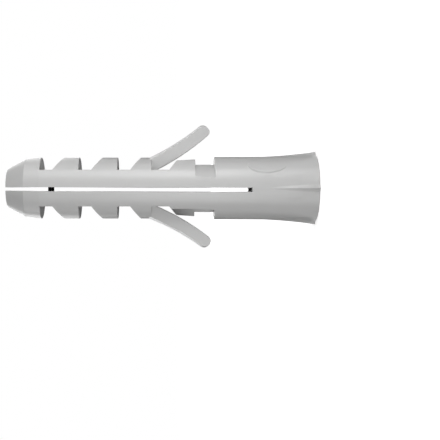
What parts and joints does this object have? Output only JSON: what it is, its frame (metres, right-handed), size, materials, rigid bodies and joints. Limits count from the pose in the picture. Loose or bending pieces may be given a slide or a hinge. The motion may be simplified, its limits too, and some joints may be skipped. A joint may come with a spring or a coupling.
{
  "type": "nylon wall plug",
  "caption": "Moulded nylon wall plug with a flared sleeve, a slotted and toothed shank that a screw spreads apart, and curved wings that keep it from turning in the hole.",
  "frame": {"origin": "centre of the collar's flat end face, on which the plug stands", "axes": "+Z along the plug's axis from the collar face to the tip, +X towards the wing that leans out further, the slot runs through along Y"},
  "size_m": [0.0238, 0.0142, 0.06],
  "materials": {
    "grey_nylon": "moulded nylon, light grey, satin"
  },
  "bodies": {
    "root": {"plug_body": "grey_nylon"}
  },
  "joints": []
}
